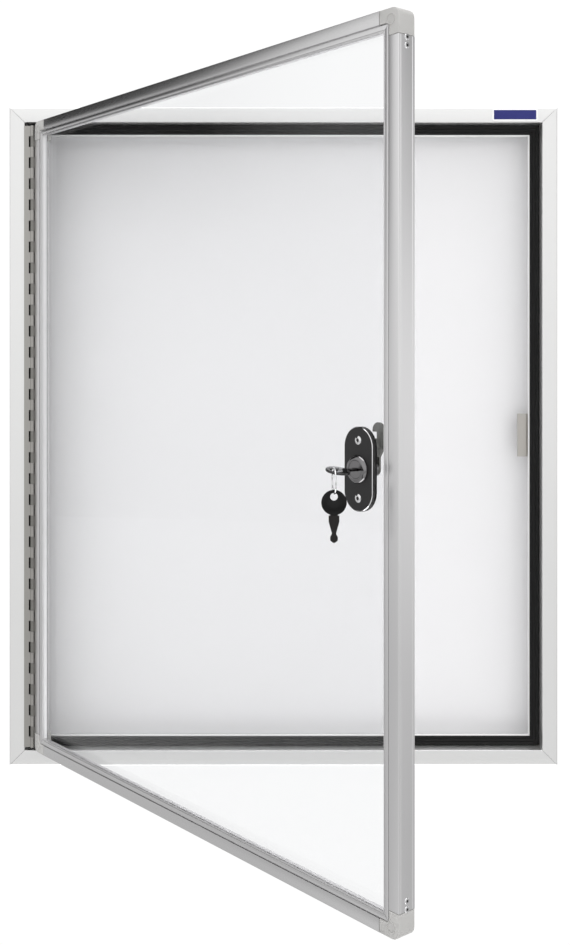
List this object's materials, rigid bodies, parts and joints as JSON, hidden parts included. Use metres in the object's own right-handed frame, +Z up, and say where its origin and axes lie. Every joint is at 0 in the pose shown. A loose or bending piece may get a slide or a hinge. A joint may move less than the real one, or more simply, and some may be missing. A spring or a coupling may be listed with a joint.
{
  "type": "lockable notice board",
  "caption": "Shallow wall-mounted display case with a white magnetic back, rubber seal and a glazed door on a piano hinge, standing open, with a cam lock and keys.",
  "frame": {"origin": "centre of the flat back, in the plane that meets the wall", "axes": "+Z up, +Y into the wall, +X to the right of a reader, who stands at -Y"},
  "size_m": [0.548, 0.4391, 0.658],
  "materials": {
    "case_aluminium": "satin anodised",
    "door_aluminium": "satin anodised",
    "corner_zinc": "zinc plated, unpolished",
    "white_steel": "gloss white enamel",
    "back_board": "matte board",
    "black_rubber": "matte",
    "blue_label": "smooth, with a white rim",
    "zinc_plate": "bright zinc",
    "plain_steel": "plain",
    "bright_screws": "polished",
    "grey_plastic": "fine matte",
    "glazing": "clear",
    "lock_black": "satin black",
    "lock_chrome": "polished",
    "key_plastic": "moulded"
  },
  "bodies": {
    "case": {"frame_top": "case_aluminium", "frame_bottom": "case_aluminium", "frame_left": "case_aluminium", "frame_right": "case_aluminium", "frame_key_top_left": "corner_zinc", "frame_key_top_right": "corner_zinc", "frame_key_bottom_left": "corner_zinc", "frame_key_bottom_right": "corner_zinc", "back_sheet": "white_steel", "backing_board": "back_board", "seal_top": "black_rubber", "seal_bottom": "black_rubber", "seal_left": "black_rubber", "seal_right": "black_rubber", "strike_plate": "zinc_plate", "strike_screw_upper": "plain_steel", "strike_screw_lower": "plain_steel", "label_plate": "blue_label", "hinge_case_leaf": "zinc_plate", "hinge_pin": "plain_steel", "hinge_case_rivet_lower": "plain_steel", "hinge_case_rivet_middle": "plain_steel", "hinge_case_rivet_upper": "plain_steel"},
    "door": {"door_stile_hinge": "door_aluminium", "door_stile_lock": "door_aluminium", "door_rail_top": "door_aluminium", "door_rail_bottom": "door_aluminium", "door_corner_top_left": "grey_plastic", "door_corner_top_right": "grey_plastic", "door_corner_bottom_left": "grey_plastic", "door_corner_bottom_right": "grey_plastic", "corner_screw_top_outer": "bright_screws", "corner_screw_top_inner": "bright_screws", "corner_screw_bottom_outer": "bright_screws", "corner_screw_bottom_inner": "bright_screws", "pane": "glazing", "pane_gasket_top": "black_rubber", "pane_gasket_bottom": "black_rubber", "pane_gasket_left": "black_rubber", "pane_gasket_right": "black_rubber", "hinge_door_leaf": "zinc_plate", "hinge_door_rivet_lower": "plain_steel", "hinge_door_rivet_middle": "plain_steel", "hinge_door_rivet_upper": "plain_steel", "lock_plate": "lock_black", "lock_gasket": "black_rubber", "lock_inner_plate": "zinc_plate", "lock_plate_screw_upper": "bright_screws", "lock_plate_screw_lower": "bright_screws", "lock_housing": "lock_black", "lock_nut": "lock_black"},
    "lock": {"lock_plug": "lock_chrome", "lock_cam": "plain_steel", "cam_screw": "plain_steel"},
    "key": {"key_blade": "lock_chrome", "key_head": "key_plastic"},
    "ring": {"key_ring": "bright_screws"},
    "spare_key": {"spare_key_blade": "lock_chrome", "spare_key_head": "key_plastic"}
  },
  "joints": [
    {"name": "door_swing", "type": "hinge", "parent": "case", "child": "door", "pos_m": [-0.2505, -0.0502, 0], "axis": [0, 0, -1], "range_deg": [-50, 120]},
    {"name": "lock_turn", "type": "hinge", "parent": "door", "child": "lock", "pos_m": [0.04981, -0.4081, 0], "axis": [0.766, 0.6428, 0], "range_deg": [0, 90]},
    {"name": "key_pull", "type": "slide", "parent": "lock", "child": "key", "axis": [-0.766, -0.6428, 0], "range_m": [0, 0.022]},
    {"name": "ring_turn", "type": "hinge", "parent": "key", "child": "ring", "pos_m": [0.03472, -0.4268, -0.0061], "axis": [1, 0, 0], "range_deg": [-20, 20]},
    {"name": "spare_key_swing", "type": "hinge", "parent": "ring", "child": "spare_key", "pos_m": [0.03472, -0.4268, -0.0167], "axis": [0, 1, 0], "range_deg": [-25, 25]}
  ]
}
